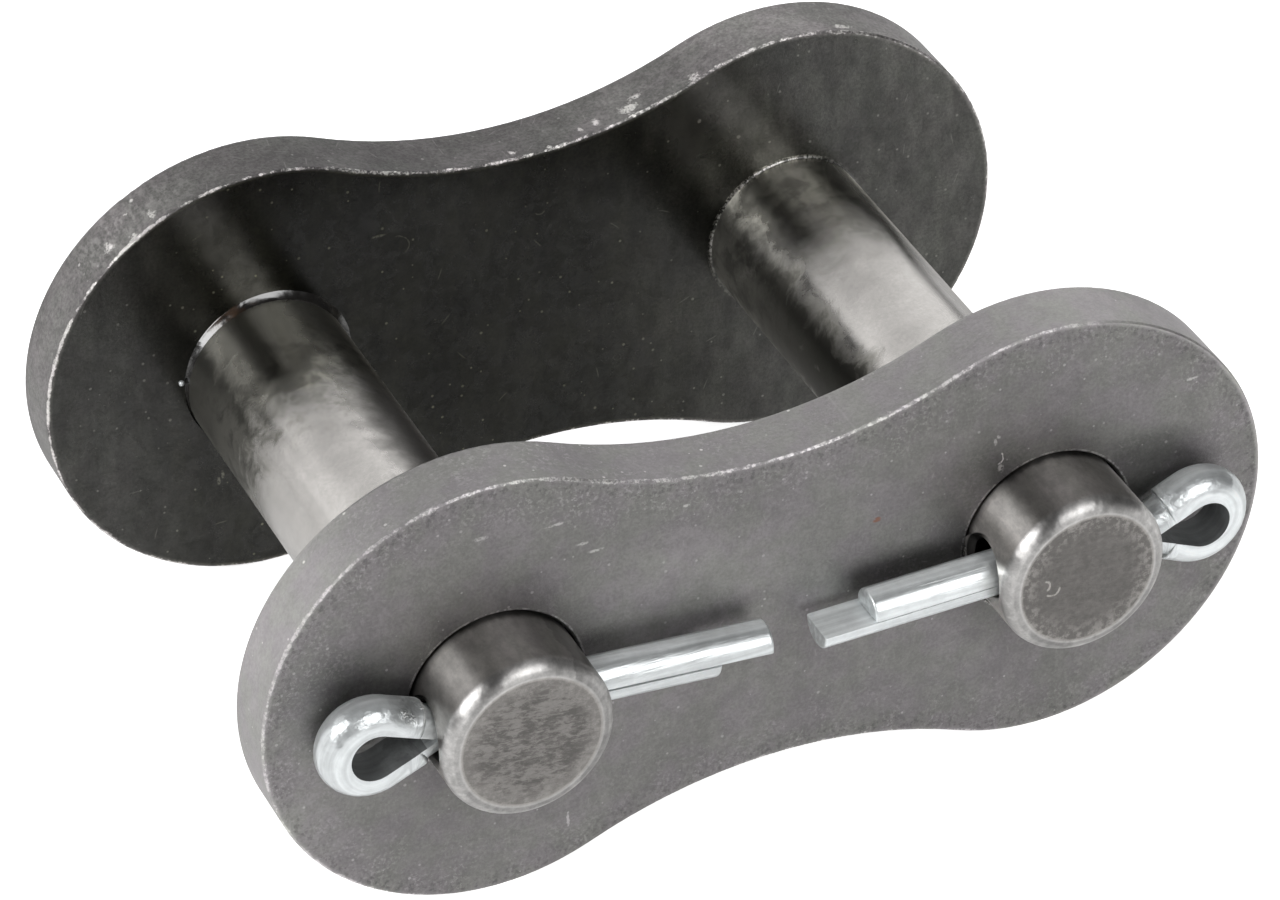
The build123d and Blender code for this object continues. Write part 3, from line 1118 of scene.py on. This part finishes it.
def zinc_finish():
    """One finish for both split pins. Its lines follow the wire round each eye."""
    material, shader, point = new_finish("zinc_plated_wire")
    x, y, z = parts(point)
    side = maths("SIGN", x)
    on_right = maths("GREATER_THAN", x, 0)
    out = x - blend(on_right, LEFT_EYE_X, RIGHT_EYE_X)
    outward = out * side
    from_eye = length_of(joined(out, z, 0))
    round_eye = joined(from_eye, y, maths("ARCTAN2", z, outward))
    along_leg = joined(z, y, x * 0.25)
    in_eye = step(outward, -2.6, -1.6)
    wire = mix("VECTOR", in_eye, along_leg, round_eye)
    wire = vector("MULTIPLY", wire, (1.0, 1.0, 0.08))
    line = step(noise(wire, 0.2, detail=4, roughness=0.6), 0.3, 0.7)
    band = step(noise(wire, 0.55, detail=1), 0.38, 0.62)
    cloud = step(noise(point, 0.8, detail=4, roughness=0.6), 0.34, 0.66)

    # The flat of the wire inside an eye looks at its middle. Painted shade darkens it there, as
    # in a recess.
    normal = source(material, "TexCoord", "Normal")
    radial = vector("NORMALIZE", joined(out, 0, z))
    looks_out = vector("DOT_PRODUCT", normal, radial)
    looks_up = parts(normal)[2] * maths("SIGN", z)
    inside = fade(maths("MINIMUM", looks_out, looks_up), -0.95, -0.7)
    inside *= step(outward, -3.4, -3.0)

    flat = step(abs(parts(normal)[2]), 0.9, 0.98)
    flat *= 1 - in_eye
    fill(shader.inputs["Metallic"], blend(flat, 0.7, 0.45))

    value = blend(cloud, 0.81, 0.9) * blend(line, blend(in_eye, 0.89, 0.92), 1.05)
    # Painted light: the right split pin is made lighter than the left one.
    lighter = blend(on_right, 0.96, 1.06)
    value *= blend(band, 0.84, 1.05)
    value *= lighter
    value *= blend(inside, 1, 0.45)
    # Painted shade darkens the dent at the neck of the left eye, which is also bumped in.
    pinch_dent_and_shade = soft_patch(point, *PINCH) * crumbs(point, 0.8, 0.2, 0.55)
    value *= blend(pinch_dent_and_shade, 1, 0.5)
    colour = coloured(value, (0.97, 1.01, 1.02))
    roughness = blend(cloud, 0.31, 0.37)
    wavy = noise(point, 0.7, detail=3) * blend(in_eye, 0.01, 0.08)
    relief = line * blend(in_eye, 0.011, 0.005) + wavy
    relief = pinch_dent_and_shade * PINCH_RELIEF + relief
    close_finish(shader, colour, roughness, relief)
    return material


zinc = zinc_finish()
for side in ("left", "right"):
    dress(nodes[side + "_split_pin"], zinc)

# %% [markdown]
# ## Oil at the foot of the pins
#
# Where a pin enters the rear plate, oil has crept out and stands in the corner as a small
# fillet, wider above than below. It catches the lamps as white arcs. A bump can't give that,
# because a corner has no surface to bend, so this is a real ring. A circle of edges is
# extruded and scaled step by step down a slightly hollow slope, which spreads each arc wider
# than a quarter round would, and then back under the surface to where it began. One bead stands
# beside it, given the bright zinc finish as a painted glint. The same strokes make the thin
# burr round the right pin's hole.

# %% Model the oil rings
RING_POINTS = 160
RING_STEPS = 7
RING_DEPTH = 0.06                       # how far the ring reaches under the surfaces
RING_SAG = 0.05                         # how hollow the ring's slope is, by its width
BEAD_RADIUS = 0.17
BEAD_PLACE = (-20.92, INNER_FRONT - 0.04, 0.75)


def ring_profile(width, height):
    """Radius beyond the pin and height off the plate, in millimetres, round the section."""
    hollow = []
    for place in range(RING_STEPS + 1):
        share = place / RING_STEPS
        sag = RING_SAG * width * 4 * share * (1 - share)
        hollow.append((width * share - sag, height * (1 - share) - sag))
    return hollow + [(width, -RING_DEPTH), (-RING_DEPTH, -RING_DEPTH), (-RING_DEPTH, height)]


def oil_ring(name, centre_x, width, height, lean, ripple):
    """A ring of oil round the foot of a pin. Lean moves its outer edge, ripple roughens it."""
    bpy.ops.object.select_all(action="DESELECT")
    profile = ring_profile(width, height)
    first_radius = PIN_RADIUS + profile[0][0]
    start = (centre_x / 1000, (INNER_FRONT - profile[0][1]) / 1000, 0)
    bpy.ops.mesh.primitive_circle_add(
        vertices=RING_POINTS, radius=first_radius / 1000, location=start,
        rotation=(math.radians(90), 0, 0),
    )
    ring = bpy.context.object
    ring.name = name
    bpy.ops.object.transform_apply(location=True, rotation=True, scale=True)
    bpy.ops.object.mode_set(mode="EDIT")
    bpy.ops.mesh.select_all(action="SELECT")
    was_out, was_up = profile[0]
    for out, up in profile[1:] + profile[:1]:
        rise = (was_up - up) / 1000
        slide = (out - was_out) / 1000
        bpy.ops.mesh.extrude_region_move(
            TRANSFORM_OT_translate={"value": (slide * lean[0], rise, slide * lean[1])}
        )
        grow = (PIN_RADIUS + out) / (PIN_RADIUS + was_out)
        middle = (centre_x + out * lean[0], 0, out * lean[1])
        bpy.ops.transform.resize(
            value=(grow, 1, grow), center_override=[value / 1000 for value in middle]
        )
        was_out, was_up = out, up
    bpy.ops.mesh.select_all(action="SELECT")
    bpy.ops.mesh.remove_doubles(threshold=0.000004)
    bpy.ops.mesh.normals_make_consistent(inside=False)
    bpy.ops.object.mode_set(mode="OBJECT")

    waves = bpy.data.textures.new(name + "_ripple", "CLOUDS")
    waves.noise_scale = 0.0011
    ruffle = ring.modifiers.new("ripple", "DISPLACE")
    ruffle.texture = waves
    ruffle.texture_coords = "GLOBAL"
    ruffle.strength = ripple / 1000
    ruffle.mid_level = 0.5
    bpy.ops.object.modifier_apply(modifier="ripple")
    bpy.ops.object.shade_smooth_by_angle(angle=math.radians(50))
    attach(ring, "root")
    print(name, len(ring.data.polygons), "faces")
    return ring


left_oil = oil_ring("left_oil_ring", -HALF_PITCH, 0.20, 0.36, (0.5, 0.9), 0.04)
right_burr = oil_ring("right_burr", HALF_PITCH, 0.10, 0.07, (0.0, 0.0), 0.07)

bpy.ops.object.select_all(action="DESELECT")
bpy.ops.mesh.primitive_uv_sphere_add(
    segments=32, ring_count=16, radius=BEAD_RADIUS / 1000,
    location=[value / 1000 for value in BEAD_PLACE],
)
bead = bpy.context.object
bead.name = "left_oil_glint_bead"
bpy.ops.object.transform_apply(location=True, rotation=True, scale=True)
bpy.ops.object.shade_smooth()
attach(bead, "root")
print("left_oil_glint_bead", BEAD_RADIUS, "mm in radius")

# %% [markdown]
# ## The oil's finish
#
# Oil is clear and brown where it lies thick. Real glass would need many light bounces to show
# the steel under a film half a millimetre deep, so the finish is a dark amber with a sharp
# gloss, which looks the same and renders clean.

# %% Finish: the oil
AMBER_TURN = 2.05                       # radians round the pin, from the right
OIL_IOR = 2.1                           # more than real oil's, for a sharp gloss


def oil_finish():
    material, shader, point = new_finish("amber_oil", metallic=0.0)
    x, _, z = parts(point)
    # Amber shows at the upper left, where the ring is thickest.
    turn = maths("ARCTAN2", z, x + HALF_PITCH)
    thick = fade(abs(turn - AMBER_TURN), 0.15, 0.45)
    cloud = step(noise(point, 0.7, detail=4), 0.35, 0.65)
    amber = thick * cloud
    colour = painted(amber, (0.004, 0.003, 0.002, 1), (0.032, 0.013, 0.002, 1))
    ripple = noise(point, 0.5, detail=3) * 0.02
    close_finish(shader, colour, blend(cloud, 0.16, 0.22), ripple)
    shader.inputs["IOR"].default_value = OIL_IOR
    return material


dress(left_oil, oil_finish())
dress(right_burr, nodes["pin_plate"].material_slots[0].material)
# Painted highlight: the oil bead wears the bright zinc finish, so that it shines as a glint.
dress(bead, zinc)

# %% [markdown]
# ## The floor
#
# The link stands on a sheet of white acrylic that is lit from below as well, as for a
# catalogue. Its light is what fills the front plate. For the camera alone the sheet glows
# more, so it stays white close to the link while the steel doesn't mirror that extra light.
# It needs no pattern that would draw the eye, only a trace of tooth.

# %% Finish: the floor
FLOOR_GLOW = 0.30
FLOOR_GLOW_SEEN = 0.85


def floor_finish():
    material, shader, point = new_finish("white_sheet", metallic=0.0)
    tooth = noise(point, 0.8, detail=3)
    value = blend(tooth, 0.88, 0.9)
    colour = joined(value, value, value)
    close_finish(shader, colour, blend(tooth, 0.85, 0.95))
    shader.inputs["Specular IOR Level"].default_value = 0.0
    shader.inputs["Emission Color"].default_value = (1, 1, 1, 1)
    seen = source(material, "LightPath", "Is Camera Ray")
    glow = blend(seen, FLOOR_GLOW, FLOOR_GLOW_SEEN)
    fill(shader.inputs["Emission Strength"], glow)
    return material


dress(floor, floor_finish())
